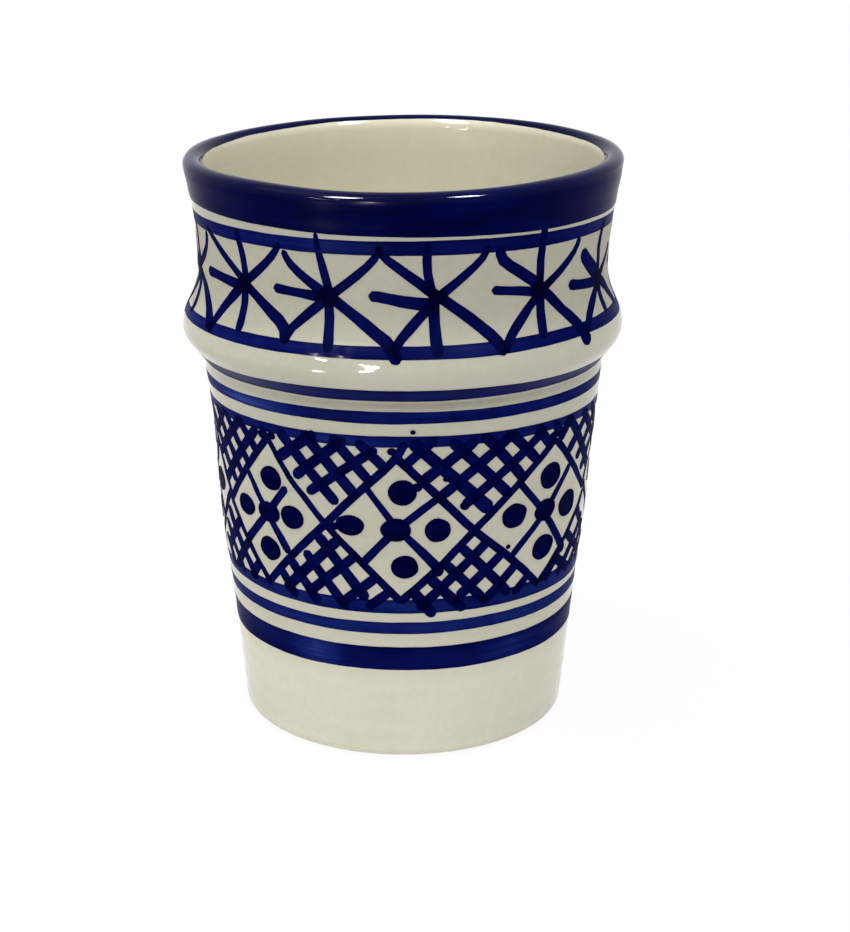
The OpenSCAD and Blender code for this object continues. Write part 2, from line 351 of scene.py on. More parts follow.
def slat(name, left, right_end, foot, top):
    """An upright lamp whose image on the bead lies between two angles and two heights."""
    angle, z = (left + right_end) / 2, (foot + top) / 2
    across = mirrored(right_end, z) - mirrored(left, z)
    rise = mirrored(angle, top) - mirrored(angle, foot)
    size = (across.length, rise.length)
    lamp = panel(name, mirrored(angle, z), size, SLAT_GLOW * math.pi * size[0] * size[1])
    back = across.cross(rise).normalized()
    along = across.normalized()
    turn = Matrix((along, back.cross(along), back)).transposed()
    lamp.matrix_world = Matrix.Translation(mirrored(angle, z)) @ turn.to_4x4()
    only_mirrored(lamp)


for number, reach in enumerate(WINDOW + ARROW + SPECKS):
    slat("slat_%d" % number, *reach)
for azimuth, wide in BOXES:
    place = round_the_cup(azimuth, BOX_ELEVATION, BOX_AWAY)
    box = panel("box_at_%d" % azimuth, place, (wide, BOX_TALL), BOX_GLOW * math.pi * wide * BOX_TALL)
    only_mirrored(box)

# %% [markdown]
# ## White glaze
# The raw cup is dipped in a milky glaze, which melts to a thin glossy coat: down the
# outside to just short of the table, over the lip and over the inside. An outline of the
# coat, out and back, is spun once round the axis. That closes the coat by itself.

# %% helpers that finish a piece
SKIN_STEPS = 224
SHARP = math.radians(50)


def finished(name, bm, material, node):
    """Makes the piece's object, smooth-shaded, riding on the cup in place of its solid."""
    bmesh.ops.recalc_face_normals(bm, faces=bm.faces)
    for edge in bm.edges:
        edge.smooth = edge.calc_face_angle(0.0) < SHARP
    mesh = bpy.data.meshes.new(name)
    bm.to_mesh(mesh)
    bm.free()
    mesh.shade_smooth()
    mesh.materials.append(material)
    piece = bpy.data.objects.new(name, mesh)
    bpy.context.scene.collection.objects.link(piece)
    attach(piece, "root")
    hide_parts(node)
    open_edges = sum(1 for loops in edge_uses(mesh) if loops != 2)
    print(name, "triangles:", sum(len(p.vertices) - 2 for p in mesh.polygons), "open edges:", open_edges)


def edge_uses(mesh):
    """How many faces use each edge of a mesh."""
    uses = [0] * len(mesh.edges)
    for loop in mesh.loops:
        uses[loop.edge_index] += 1
    return uses


def spun(outline, steps=SKIN_STEPS):
    """A closed outline of (radius, height) points, mm, spun once round the axis."""
    bm = bmesh.new()
    points = [bm.verts.new(round_cup(0.0, radius, z)) for radius, z in outline]
    chain = [bm.edges.new(pair) for pair in zip(points, points[1:])]
    if outline[0][0] > 0.0:
        chain.append(bm.edges.new((points[-1], points[0])))
    bmesh.ops.spin(bm, geom=points + chain, cent=(0, 0, 0), axis=(0, 0, 1),
                   angle=2 * math.pi, steps=steps, use_merge=True)
    bmesh.ops.remove_doubles(bm, verts=bm.verts, dist=1e-6)
    return bm


def mark_layers(bm, *names):
    """New layers of numbers at the points, all made before the first is used."""
    layers = bm.verts.layers.float
    for name in names:
        layers.new(name)
    return [layers[name] for name in names]


# %% outline of the coat
INNER_TOP = (LIP_R - 2 * LIP_HALF, LIP_Z - LIP_SOFT)
INNER_FOOT = (BOWL_R + FLOOR_ROUND, BOWL_Z)
# Where the curves of foot, lip and bowl start or end, degrees
FOOT_END, LIP_START, LIP_END, BOWL_START, BOWL_END = -5, 10, 174, -10, -90
# Steps along the outline: of the face and of the back in mm, of the curves in degrees
FACE_PITCH, BACK_PITCH, LIP_STEP, FOOT_STEP, BOWL_STEP = 0.32, 1.5, 8, 9, 10
INSIDE_STEP, BASE_STEPS = 0.022, (0.75, 0.5, 0.25, 0.0)


def steps_between(low, high, pitch):
    """Even steps from one number to another, about a pitch apart."""
    count = max(1, round(abs(high - low) / pitch))
    return [low + (high - low) * i / count for i in range(count + 1)]


def lip_points(out, end=LIP_END):
    """The lip's rounded top from outside to inside, moved out by a distance; softer on the inside."""
    points = []
    for degrees in steps_between(LIP_START, end, LIP_STEP):
        soft, a = (LIP_SOFT if degrees > 90 else 0.0), math.radians(degrees)
        points.append((LIP_MID + (LIP_HALF + out) * math.cos(a),
                       LIP_Z - soft + (LIP_RISE + soft + out) * math.sin(a)))
    return points


def coat_outline(out, pitch, run=GLAZE_RUN):
    """Points of the coat's face from under the foot's edge over the lip to the floor's middle."""
    foot = [(FOOT_R - FOOT_ROUND + (FOOT_ROUND + out) * math.cos(math.radians(a)),
             FOOT_ROUND * (1 + math.sin(math.radians(a))))
            for a in steps_between(-run, FOOT_END, FOOT_STEP)]
    levels = steps_between(FOOT_ROUND, GROOVE_Z, 2 * pitch)
    levels += steps_between(GROOVE_Z, WAIST_Z, pitch)[1:] + steps_between(WAIST_Z, LIP_Z, 2 * pitch)[1:]
    wall = [(thrown_radius(z) + out, z) for z in levels]
    inside = [(INNER_TOP[0] + (INNER_FOOT[0] - INNER_TOP[0]) * t - out,
               INNER_TOP[1] + (INNER_FOOT[1] - INNER_TOP[1]) * t) for t in steps_between(0, 1, INSIDE_STEP)]
    bowl = [(BOWL_R + (FLOOR_ROUND - out) * math.cos(math.radians(a)),
             BOWL_Z + (FLOOR_ROUND - out) * math.sin(math.radians(a)))
            for a in steps_between(BOWL_START, BOWL_END, BOWL_STEP)]
    base = [(BOWL_R * t, FLOOR_Z + out) for t in BASE_STEPS]
    return foot + wall + lip_points(out) + inside + bowl + base


def by_hand(place):
    """A place of the even form, moved as the hand left it."""
    radius, z, angle = math.hypot(place.x, place.y) / MM, place.z / MM, angle_of(place)
    return round_cup(angle, radius + (wobble(angle, z) if radius > 1 else 0.0), z + lip_shift(angle, z))


glaze_bm = spun(list(reversed(coat_outline(0.0, FACE_PITCH))) + coat_outline(-GLAZE_T, BACK_PITCH))
print("glaze outline spun:", len(glaze_bm.verts), "vertices")

# %% painted shade and light, and dullness of the coat
# Painted shade by height: the coat's colour is lightest at the foot and darkest at the neck
PAINTED_SHADE_HEIGHTS, PAINTED_SHADES = (15, 24, 30, 62, 73, 76.5, 84), (1.03, 0.84, 0.81, 0.72, 0.73, 0.79, 0.645)
# Painted shade in the groove: how much, its middle and reach in degrees, how far down and how tall in
# mm, and the share of it that goes all round
GROOVE_SHADE, GROOVE_FRONT, GROOVE_WIDE = 0.42, 8, 40
GROOVE_DOWN, GROOVE_TALL, GROOVE_ROUND = 0.8, 0.9, 0.3
# Painted shade at the sides, outside and inside, more on the right inside; painted light over the inside,
# more near the lip
OUTER_SIDE_SHADE, INNER_PAINTED_LIGHT, INNER_SIDE_SHADE, INNER_RIGHT_SHADE = 0.09, 1.06, 0.27, 0.09
LIP_LIGHT, LIP_REACH, INSIDE_FROM = 0.16, 5.0, 1.5
NECK_DULL, INSIDE_DULL = (80.5, 97.0), LIP_Z - 3.0


def glaze_painted_shade(angle, z, inside):
    """Painted shade and light of the glaze: darker at the neck, in the groove and at the sides, and inside
    darker low down.
    """
    front = GROOVE_ROUND + (1 - GROOVE_ROUND) * fade(apart(angle, GROOVE_FRONT), GROOVE_WIDE)
    groove = GROOVE_SHADE * fade(z - GROOVE_Z + GROOVE_DOWN, GROOVE_TALL) * front
    side = math.sin(math.radians(angle))
    outer = float(np.interp(z, PAINTED_SHADE_HEIGHTS, PAINTED_SHADES)) * (1 - groove) * (1 - OUTER_SIDE_SHADE * side ** 2)
    near_lip = kept(1 - (LIP_Z - z) / LIP_REACH)
    inner = INNER_PAINTED_LIGHT - INNER_SIDE_SHADE * side ** 2 - INNER_RIGHT_SHADE * side + LIP_LIGHT * near_lip
    return outer + (inner - outer) * inside


def glaze_dull(z, inside):
    """1 where the glaze is dull: on the hollow neck and deep inside."""
    neck = kept(min(z - NECK_DULL[0], NECK_DULL[1] - z) + 0.5)
    return neck + (kept(INSIDE_DULL - z) - neck) * inside


# The tone layer carries the coat's painted shade and light
inside_layer, painted_shade_layer, dull_layer = mark_layers(glaze_bm, "inside", "tone", "dull")
for vertex in glaze_bm.verts:
    z, angle = vertex.co.z / MM, angle_of(vertex.co)
    depth = thrown_radius(max(z, FOOT_ROUND)) - math.hypot(vertex.co.x, vertex.co.y) / MM
    inside = kept(depth - INSIDE_FROM)
    vertex[inside_layer] = inside
    vertex[painted_shade_layer] = glaze_painted_shade(angle, z, inside)
    vertex[dull_layer] = glaze_dull(z, inside)
    vertex.co = by_hand(vertex.co)
# The painted shade at the foot, in the groove and at the neck
print("tone at the foot, in the groove and at the neck:",
      [round(glaze_painted_shade(0, z, 0), 3) for z in (10, 69.4, 90)])

# %% [markdown]
# ## How the glaze looks
# The glaze is off-white with a faint yellow-green tone, a little yellower inside, where it
# pools. It runs down a little while it melts, so it is thinner and duller at the neck than
# at the foot. Its colour carries painted shade, darker at the neck, in the groove and at the
# sides, and painted light, lighter inside and most near the lip. It is glossy but not
# flawless: there is a very fine orange peel, and soft clouds and specks of tone. Noise on the
# object's own coordinates gives them, so nothing slides when the view changes.

# %% helpers for materials


def plain_material(name):
    """A material with only a glossy shader, and its node tree."""
    material = bpy.data.materials.new(name)
    material.use_nodes = True
    tree = material.node_tree
    return material, tree, tree.nodes["Principled BSDF"]


def speckle(tree, source, stretch, detail):
    """Noise on coordinates stretched by three numbers, features per metre or per unit."""
    mapping = tree.nodes.new("ShaderNodeMapping")
    mapping.inputs["Scale"].default_value = stretch
    tree.links.new(source, mapping.inputs["Vector"])
    texture = tree.nodes.new("ShaderNodeTexNoise")
    texture.inputs["Scale"].default_value = 1.0
    texture.inputs["Detail"].default_value = detail
    tree.links.new(mapping.outputs[0], texture.inputs["Vector"])
    return texture.outputs["Fac"]


def ramp(tree, source, stops):
    """Colours along a number from 0 to 1, as (place, colour) stops."""
    node = tree.nodes.new("ShaderNodeValToRGB")
    while len(node.color_ramp.elements) < len(stops):
        node.color_ramp.elements.new(0.5)
    for element, (place, colour) in zip(node.color_ramp.elements, stops):
        element.position = place
        element.color = (*colour, 1.0)
    tree.links.new(source, node.inputs["Fac"])
    return node.outputs["Color"]


def spread(tree, source, low, high):
    """A number from 0 to 1 brought into another range."""
    node = tree.nodes.new("ShaderNodeMapRange")
    node.inputs["To Min"].default_value = low
    node.inputs["To Max"].default_value = high
    tree.links.new(source, node.inputs["Value"])
    return node.outputs[0]


def attribute(tree, name):
    """A number that the mesh carries at its points."""
    node = tree.nodes.new("ShaderNodeAttribute")
    node.attribute_name = name
    return node.outputs["Fac"]


def relief(tree, shader, height, distance, strength):
    """A fine relief from a number, which only bends the light."""
    node = tree.nodes.new("ShaderNodeBump")
    node.inputs["Distance"].default_value = distance
    node.inputs["Strength"].default_value = strength
    tree.links.new(height, node.inputs["Height"])
    tree.links.new(node.outputs[0], shader.inputs["Normal"])


def shade(red, green, blue):
    """A screen colour from 0 to 255 as the light that a shader works with."""
    parts = [part / 255 for part in (red, green, blue)]
    return tuple(part / 12.92 if part <= 0.04045 else ((part + 0.055) / 1.055) ** 2.4 for part in parts)


# %% glaze
GLOSS_ROUGH, DULL_ROUGH, GLOSS_MIRROR, DULL_MIRROR = 0.05, 0.45, 0.2, 0.01
# Features per metre of the clouds, the specks and the orange peel
CLOUDS, FINE_SPECKS, PEEL = (45, 45, 60), (700, 700, 700), (420, 420, 420)
SPECK_TONE, PEEL_DEPTH, PEEL_STRENGTH = 0.05, 0.00004, 0.3
glaze, tree, shader = plain_material("milky_glaze")
places = tree.nodes.new("ShaderNodeTexCoord").outputs["Object"]
clouds = speckle(tree, places, CLOUDS, 4.0)
outside_tone = ramp(tree, clouds, [(0.3, shade(208, 206, 185)), (0.5, shade(214, 211, 192)),
                                   (0.7, shade(216, 211, 194))])
# The inside colour is a little lighter than the outside's, which is painted light
inside_tone_and_light = ramp(tree, clouds, [(0.3, shade(211, 206, 184)), (0.7, shade(220, 216, 195))])
colour = tree.nodes.new("ShaderNodeMix")
colour.data_type = "RGBA"
tree.links.new(attribute(tree, "inside"), colour.inputs["Factor"])
tree.links.new(outside_tone, colour.inputs[6])
tree.links.new(inside_tone_and_light, colour.inputs[7])
specks = spread(tree, speckle(tree, places, FINE_SPECKS, 2.0), -SPECK_TONE, SPECK_TONE)
# The colour is scaled by the painted shade and light in the tone attribute, plus fine specks of tone
specked_and_shaded = tree.nodes.new("ShaderNodeVectorMath")
specked_and_shaded.operation = "SCALE"
tree.links.new(colour.outputs[2], specked_and_shaded.inputs[0])
tree.links.new(reckoned(tree, "ADD", attribute(tree, "tone"), specks), specked_and_shaded.inputs["Scale"])
tree.links.new(specked_and_shaded.outputs[0], shader.inputs["Base Color"])
dull = attribute(tree, "dull")
tree.links.new(spread(tree, dull, GLOSS_ROUGH, DULL_ROUGH), shader.inputs["Roughness"])
tree.links.new(spread(tree, dull, GLOSS_MIRROR, DULL_MIRROR), shader.inputs["Specular IOR Level"])
relief(tree, shader, speckle(tree, places, PEEL, 2.0), PEEL_DEPTH, PEEL_STRENGTH)
finished("milky_glaze_coat", glaze_bm, glaze, "white_glaze")

# %% [markdown]
# ## Clay under the glaze
# The clay shows only under the foot, where the glaze was wiped off so that the cup does not
# stick to the kiln shelf. Its outline is the coat's inner face, closed under the foot by the
# trimmed recess. It is spun and moved by hand like the coat, and has a dry, warm, grainy
# finish.

# %% bare clay
CLAY_GRAIN, GRAIN_DEPTH, GRAIN_STRENGTH, CLAY_ROUGH = (900, 900, 900), 0.0002, 0.6, (0.75, 0.95)
clay, tree, shader = plain_material("bare_clay")
places = tree.nodes.new("ShaderNodeTexCoord").outputs["Object"]
grain = speckle(tree, places, CLAY_GRAIN, 5.0)
clay_tone = ramp(tree, grain, [(0.35, shade(176, 152, 124)), (0.6, shade(203, 182, 152)),
                               (0.75, shade(214, 197, 170))])
tree.links.new(clay_tone, shader.inputs["Base Color"])
tree.links.new(spread(tree, grain, *CLAY_ROUGH), shader.inputs["Roughness"])
relief(tree, shader, grain, GRAIN_DEPTH, GRAIN_STRENGTH)
RECESS_H, RING_W, UNDER_FOOT = 1.2, 6.0, 90
RING_INNER = FOOT_R - FOOT_ROUND - RING_W
recess = [(0.0, RECESS_H), (RING_INNER - RECESS_H, RECESS_H), (RING_INNER, 0.0)]
clay_bm = spun(recess + coat_outline(-GLAZE_T, BACK_PITCH, UNDER_FOOT))
for vertex in clay_bm.verts:
    vertex.co = by_hand(vertex.co)
finished("thrown_clay", clay_bm, clay, "clay_body")

# %% [markdown]
# ## Blue colour
# Cobalt colour is brushed on and melts into the glaze. Where the brush is nearly dry the
# white shines through and the blue is light; where two strokes cross, it is almost black.
# Each piece carries a number called load, which says how much colour lies there. Streaks of
# the brush hairs are added to it, and the sum picks the shade of blue. A second number,
# gloss, says where the colour is shiny: on the lip, on the bead and in the groove.

# %% blue finishes
BLUES = [(0.0, shade(50, 68, 134)), (0.25, shade(20, 35, 100)), (0.5, shade(6, 15, 80)),
         (0.75, shade(1, 5, 60)), (1.0, shade(0, 1, 34))]
LIP_MIRROR, LIP_ROUGH, STREAK_LOAD = 0.05, 0.07, 0.2


def blue(name, source, hairs, patches, mirror, rough, glossy):
    """A blue finish whose hairs and patches are noise on the source's coordinates; mirror and
    rough say how it looks, but for the places that a glossy one carries as an attribute."""
    material, tree, shader = plain_material(name)
    places = tree.nodes.new("ShaderNodeTexCoord").outputs[source]
    amount = attribute(tree, "load")
    for stretch, detail in ((hairs, 3.0), (patches, 2.0)):
        streaks = spread(tree, speckle(tree, places, stretch, detail), -STREAK_LOAD, STREAK_LOAD)
        amount = reckoned(tree, "ADD", amount, streaks)
    tree.links.new(ramp(tree, amount, BLUES), shader.inputs["Base Color"])
    shader.inputs["Specular IOR Level"].default_value = mirror
    shader.inputs["Roughness"].default_value = rough
    if glossy:
        gloss = attribute(tree, "gloss")
        tree.links.new(spread(tree, gloss, mirror, LIP_MIRROR), shader.inputs["Specular IOR Level"])
        tree.links.new(spread(tree, gloss, rough, LIP_ROUGH), shader.inputs["Roughness"])
    return material


band_blue = blue("banded_blue", "Object", (70, 70, 2000), (60, 60, 200), 0.005, 0.3, True)
stroke_blue = blue("brushed_blue", "UV", (0.12, 3.2, 1.0), (0.25, 0.5, 1.0), 0.002, 0.4, False)
print("blue finishes:", band_blue.name, stroke_blue.name)

# %% [markdown]
# ## Lines and bands
# With the cup turning on a wheel, a loaded brush held still draws a line in one turn. Each
# line is a short upright edge, spun once round. Its faces are extruded to give the film a
# thickness, and then every point is laid on the uneven glaze, with edges that waver as a
# hand does. The film sinks a little into the glaze, as melted colour does.

# %% one line
RING_STEPS, LINE_CUTS = 240, 8
SINK, FILM, EDGE_WAVER = 0.06, 0.03, 0.14
# How quickly the slow and the quick waver change, the quick one's share, and the gaps in the
# noise between two seeds and between the two wavers
SLOW_PACE, QUICK_PACE, QUICK_SHARE = 2.5, 14, 0.35
SEED_GAP, QUICK_GAP = 7.0, 3
EDGE_LOAD, LOAD_WAVER = 0.12, 0.144


def heights(node):
    """Lower and upper edge of a node, mm."""
    return tuple(corner.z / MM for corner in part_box(node))


def raised(bm, faces):
    """Extrudes faces to a film and gives the points of its upper side."""
    parts = bmesh.ops.extrude_face_region(bm, geom=faces)["geom"]
    return {part for part in parts if isinstance(part, bmesh.types.BMVert)}


def waver(angle, seed, size):
    """A slow and a quick waver of a painted edge, mm."""
    slow = noise_round(angle, SLOW_PACE, SEED_GAP * seed)
    quick = noise_round(angle, QUICK_PACE, SEED_GAP * seed + QUICK_GAP)
    return size * (slow + QUICK_SHARE * quick)


def edge_lift(lifts, side):
    """The lift of an edge between the middle and the far left or right, where side is -1 or 1."""
    return lifts[0] + (lifts[2 if side > 0 else 1] - lifts[0]) * side ** 2


def painted_line(name, node, seed, load, lower=(0, 0, 0), upper=(0, 0, 0), patches=(), shiny=()):
    """A line at its solid's heights. Lower and upper lift its edges in the middle and at the far
    left and right; patches (angle, reach, more load) are darker or lighter places, and shiny
    (angle, reach, gloss) are glossy ones."""
    low, high = heights(node)
    bm = bmesh.new()
    amount, shine = mark_layers(bm, "load", "gloss")
    upright = bm.edges.new([bm.verts.new(round_cup(0, thrown_radius(z), z)) for z in (low, high)])
    bmesh.ops.subdivide_edges(bm, edges=[upright], cuts=LINE_CUTS)
    bmesh.ops.spin(bm, geom=bm.verts[:] + bm.edges[:], cent=(0, 0, 0), axis=(0, 0, 1),
                   angle=2 * math.pi, steps=RING_STEPS, use_merge=True)
    film = raised(bm, bm.faces[:])
    for vertex in bm.verts:
        angle, across = angle_of(vertex.co), (vertex.co.z / MM - low) / (high - low)
        side = math.sin(math.radians(angle))
        bottom = low + waver(angle, seed, EDGE_WAVER) + edge_lift(lower, side)
        top = high + waver(angle, seed + 0.5, EDGE_WAVER) + edge_lift(upper, side)
        vertex.co = on_cup(angle, bottom + (top - bottom) * across, FILM if vertex in film else -SINK)
        edge_load = EDGE_LOAD * abs(2 * across - 1) ** 3
        vertex[amount] = load + edge_load + spots(patches, angle) + waver(angle, seed + 0.25, LOAD_WAVER)
        vertex[shine] = spots(shiny, angle)
    finished(name, bm, band_blue, node)


# %% seven thin lines and the foot band
painted_line("line_above_stars", "star_upper_line", 1, 0.48,
             (0.13, 0.35, 0.15), (0, -0.15, -0.35), [(0, 13, 0.25), (40, 20, 0.15)])
painted_line("line_below_stars", "star_lower_line", 2, 0.48,
             (-0.1, 0, 0.5), (-0.05, -0.2, 0.45), shiny=[(-21.6, 1.6, 1), (-15, 1.6, 1)])
painted_line("line_in_groove", "collar_line", 3, 0.6, upper=(0.05, -0.5, -0.55),
             shiny=[(0, 30, 0.5), (-40, 14, 0.65), (40, 14, 0.3)])
painted_line("line_on_shoulder", "shoulder_line", 4, 0.52,
             (0, -0.25, -0.1), (0, -0.6, -0.25), [(-52, 16, -0.5)])
painted_line("line_above_net", "lattice_upper_line", 5, 0.42,
             (-0.35, -0.1, -0.6), (0.03, -0.35, -0.75))
painted_line("line_below_net", "lattice_lower_line", 6, 0.38,
             (-0.27, 0.15, -0.85), (-0.25, -0.25, 0))
painted_line("line_near_foot", "foot_line", 7, 0.32)
painted_line("band_near_foot", "foot_band", 8, 0.62,
             patches=[(-28, 9, -0.45), (40, 14, -0.2)])

# %% [markdown]
# ## Rim band
# The broad band at the top goes over the lip and ends on its inner side, lower at the sides. It
# is painted last and thickest, so it is nearly black. It follows the coat's own outline
# over the lip, so it is spun from that outline, out and back.

# %% rim band
rim_low, rim_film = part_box("rim_band")[0].z / MM, 0.05
RIM_PITCH, RIM_TURN, SIDE_TURN, TURN_WAVER = 0.7, 130, 17, 5
RIM_LOAD, RIM_LOAD_WAVER = 0.8, 0.12
# Gloss of the sides, how far under the lip's curve it starts to grow, and over what height, mm
SIDE_SHINE, SHINE_UNDER, SHINE_RISE = 0.3, 0.4, 0.6
# Lower edge in mm: its waver, its lift, how far it falls to the right, and rises behind
RIM_WAVER, RIM_LIFT, RIM_SLANT, RIM_RISE = 0.12, 0.12, 0.75, 0.8


def rim_outline(out):
    """Points from the band's lower edge up the neck and over the lip."""
    neck = [(thrown_radius(z) + out, z) for z in steps_between(rim_low, LIP_Z, RIM_PITCH)]
    return neck + lip_points(out, RIM_TURN)


rim_bm = spun(rim_outline(rim_film) + list(reversed(rim_outline(-SINK))), RING_STEPS)
rim_load, rim_gloss = mark_layers(rim_bm, "load", "gloss")
for vertex in rim_bm.verts:
    radius, z, angle = math.hypot(vertex.co.x, vertex.co.y) / MM, vertex.co.z / MM, angle_of(vertex.co)
    a, drop = math.radians(angle), max(0.0, LIP_Z - z)
    vertex[rim_load] = RIM_LOAD + waver(angle, 13, RIM_LOAD_WAVER)
    lip_shine = (z - LIP_Z + SHINE_UNDER) / SHINE_RISE
    vertex[rim_gloss] = min(1.0, max(SIDE_SHINE * math.sin(a) ** 2, lip_shine))
    if radius < LIP_MID:
        over, high = (LIP_MID - radius) / LIP_HALF, (z - LIP_Z + LIP_SOFT) / (LIP_RISE + LIP_SOFT)
        more = (SIDE_TURN * math.sin(a) ** 2 + waver(angle, 12, TURN_WAVER)) / (RIM_TURN - 90)
        turn, size = math.atan2(over, high) * (1 + more), math.hypot(over, high)
        radius = LIP_MID - LIP_HALF * size * math.sin(turn)
        z = LIP_Z - LIP_SOFT + (LIP_RISE + LIP_SOFT) * size * math.cos(turn)
    elif drop > 0.0:
        edge = waver(angle, 11, RIM_WAVER) + RIM_LIFT - RIM_SLANT * math.sin(a)
        edge += RIM_RISE * (1 - max(0.0, math.cos(a)))
        moved = z + edge * (drop / (LIP_Z - rim_low)) ** 2
        radius, z = radius + thrown_radius(moved) - thrown_radius(z), moved
    vertex.co = round_cup(angle, radius + wobble(angle, z), z + lip_shift(angle, z))
finished("band_over_lip", rim_bm, band_blue, "rim_band")

# %% [markdown]
# ## A brush stroke
# A stroke starts where the loaded brush is pressed down, so that end is round and thick. It
# follows the hand in a slight bow and ends where the brush lifts. A flat grid is the film:
# its long way is laid along the stroke, its short way across, and the faces are extruded
# into the glaze. Where a stroke passes over others the load grows with each one.

# %% where a stroke lies
DEGREE = math.radians(1)
CURVE_STEPS, STROKE_POINTS, MIDDLE_AT, STEEPEST = 13, 61, 0.45, 65


def smooth_line(points):
    """Places along a smooth curve through points (angle, height), evenly spaced by length."""
    points = [np.array(p, float) for p in points]
    ends = [2 * points[0] - points[1], *points, 2 * points[-1] - points[-2]]
    curve = []
    for before, start, end, after in zip(ends, ends[1:], ends[2:], ends[3:]):
        bend = 2 * before - 5 * start + 4 * end - after
        twist = 3 * start - before - 3 * end + after
        for t in np.linspace(0, 1, CURVE_STEPS):
            curve.append(0.5 * (2 * start + (end - before) * t + bend * t ** 2 + twist * t ** 3))
    curve = np.array(curve)
    radius = thrown_radius(float(curve[:, 1].mean()))
    steps = np.hypot(np.diff(curve[:, 0]) * DEGREE * radius, np.diff(curve[:, 1]))
    length = np.concatenate([[0], np.cumsum(steps)])
    even = np.linspace(0, length[-1], STROKE_POINTS)
    places = np.stack([np.interp(even, length, curve[:, 0]), np.interp(even, length, curve[:, 1])], 1)
    return places, length[-1], radius


def as_seen(points):
    """Points read off an even cup, turned to where they lie on the uneven wall."""
    turned = []
    for angle, z in points:
        slope = math.tan(math.radians(max(-STEEPEST, min(STEEPEST, angle))))
        turned.append((angle - wobble(angle, z) / thrown_radius(z) / DEGREE * slope, z))
    return turned


def run_on(tip, inner, reach):
    """A tip moved further out along its stroke by a reach in mm."""
    step = np.array([(tip[0] - inner[0]) * DEGREE * thrown_radius(tip[1]), tip[1] - inner[1]])
    step *= reach / np.linalg.norm(step)
    return tip[0] + step[0] / (DEGREE * thrown_radius(tip[1])), tip[1] + step[1]


def stroke(points, widths, load, layer, press, reach):
    """A stroke's plan: its widths at the start, in the middle and at the end, mm; press widens
    its start, and reach makes its two ends longer. A degree is given in mm round the cup."""
    first, last = run_on(points[0], points[1], reach[0]), run_on(points[-1], points[-2], reach[1])
    places, length, radius = smooth_line([first, *points[1:-1], last])
    along = np.linspace(0, length, STROKE_POINTS)
    pressed = 1 + (press - 1) * np.exp(-(along / widths[0]) ** 2)
    half = np.interp(along / length, (0, MIDDLE_AT, 1), widths) * pressed / 2
    return {"angle": places[:, 0], "z": places[:, 1], "half": half, "along": along, "length": length,
            "degree": DEGREE * radius, "load": load, "layer": layer}


# %% the film of a stroke
CELL, MIN_CELLS, LAYER, CAP_MIN = 1.4, 8, 0.004, 0.2
STROKE_LOAD, LINE_LOAD = 0.22, 0.12
# Soft edges of crossings with strokes and with lines, and how near strokes are that may cross, mm
STROKE_SOFT, LINE_SOFT, NEAR = 0.35, 0.4, 26
# How far points crowd to a stroke's ends, the shake of its edge and its length in mm, and the
# step in mm that gives its direction
CROWDING, SHAKE, SHAKE_LENGTH, STEP_ALONG = 0.11, 0.09, 1.6, 0.2


def cover(plan, flat):
    """How far flat places (mm round the cup, mm up) lie under a stroke, from 0 to 1."""
    line = np.stack([plan["angle"] * plan["degree"], plan["z"]], 1)
    away = np.linalg.norm(flat[:, None, :] - line[None, :, :], axis=2) - plan["half"][None, :]
    return np.clip(0.5 - away.min(1) / STROKE_SOFT, 0, 1)


def near(one, other):
    """Whether two strokes may touch."""
    across = abs(one["angle"].mean() - other["angle"].mean()) * one["degree"]
    return across < NEAR and abs(one["z"].mean() - other["z"].mean()) < NEAR


def along_stroke(plan, distance):
    """Angle, height and half width of a stroke at a distance from its start."""
    return [np.interp(distance, plan["along"], plan[row]) for row in ("angle", "z", "half")]


def lay_strokes(name, node, plans, lines, seed):
    """All the strokes of one row as one piece, darker where they cross each other or a line."""
    rng = random.Random(seed)
    bm = bmesh.new()
    amount = bm.verts.layers.float.new("load")
    hairs = bm.loops.layers.uv.new("UVMap")
    for plan in plans:
        start, hair, flat = rng.uniform(0, 100), {}, []
        length, degree = plan["length"], plan["degree"]
        cells = max(MIN_CELLS, round(length / CELL))
        made = bmesh.ops.create_grid(bm, x_segments=cells, y_segments=2, size=1.0)["verts"]
        film = raised(bm, list({face for vertex in made for face in vertex.link_faces}))
        both = [*made, *film]
        for vertex in both:
            share, across = (vertex.co.x + 1) / 2, vertex.co.y
            distance = length * (share - CROWDING * math.sin(2 * math.pi * share))
            angle, z, half = along_stroke(plan, distance)
            after = along_stroke(plan, min(distance + STEP_ALONG, length))
            before = along_stroke(plan, max(distance - STEP_ALONG, 0))
            run, climb = (after[0] - before[0]) * degree, after[1] - before[1]
            reach = min(distance, length - distance) / half
            cap = max(CAP_MIN, math.sqrt(max(0.0, 1 - (1 - min(reach, 1.0)) ** 2)))
            shake = 1 + SHAKE * noise.noise(Vector((distance / SHAKE_LENGTH, across, start)))
            side = across * half * cap * shake / math.hypot(run, climb)
            angle -= climb * side / degree
            z += run * side
            flat.append((angle * degree, z))
            lift = FILM + LAYER * (2 + plan["layer"]) if vertex in film else -SINK
            vertex.co = on_cup(angle, z, lift)
            hair[vertex] = (start + distance, across * half)
        flat = np.array(flat)
        load = np.full(len(flat), plan["load"])
        for other in plans:
            if other is not plan and near(plan, other):
                load += STROKE_LOAD * cover(other, flat)
        for low, high in lines:
            depth = np.minimum(flat[:, 1] - low, high - flat[:, 1])
            load += LINE_LOAD * np.clip(depth / LINE_SOFT + 0.5, 0, 1)
        for vertex, value in zip(both, load):
            vertex[amount] = value
        for face in {face for vertex in both for face in vertex.link_faces}:
            for loop in face.loops:
                loop[hairs].uv = hair[loop.vert]
    finished(name, bm, stroke_blue, node)


print("heights of the line above the stars, mm:", [round(z, 2) for z in heights("star_upper_line")])

# %% [markdown]
# ## Stars
# Thirteen stars stand round the neck. Each has three strokes up, three down and one to the
# left that starts with a blob. The painter's hand differs from star to star, so the six
# stars that the photo shows have their own points (angle in degrees, height in mm, from the
# tip to the hub). The seven behind are drawn from a pattern with small changes.

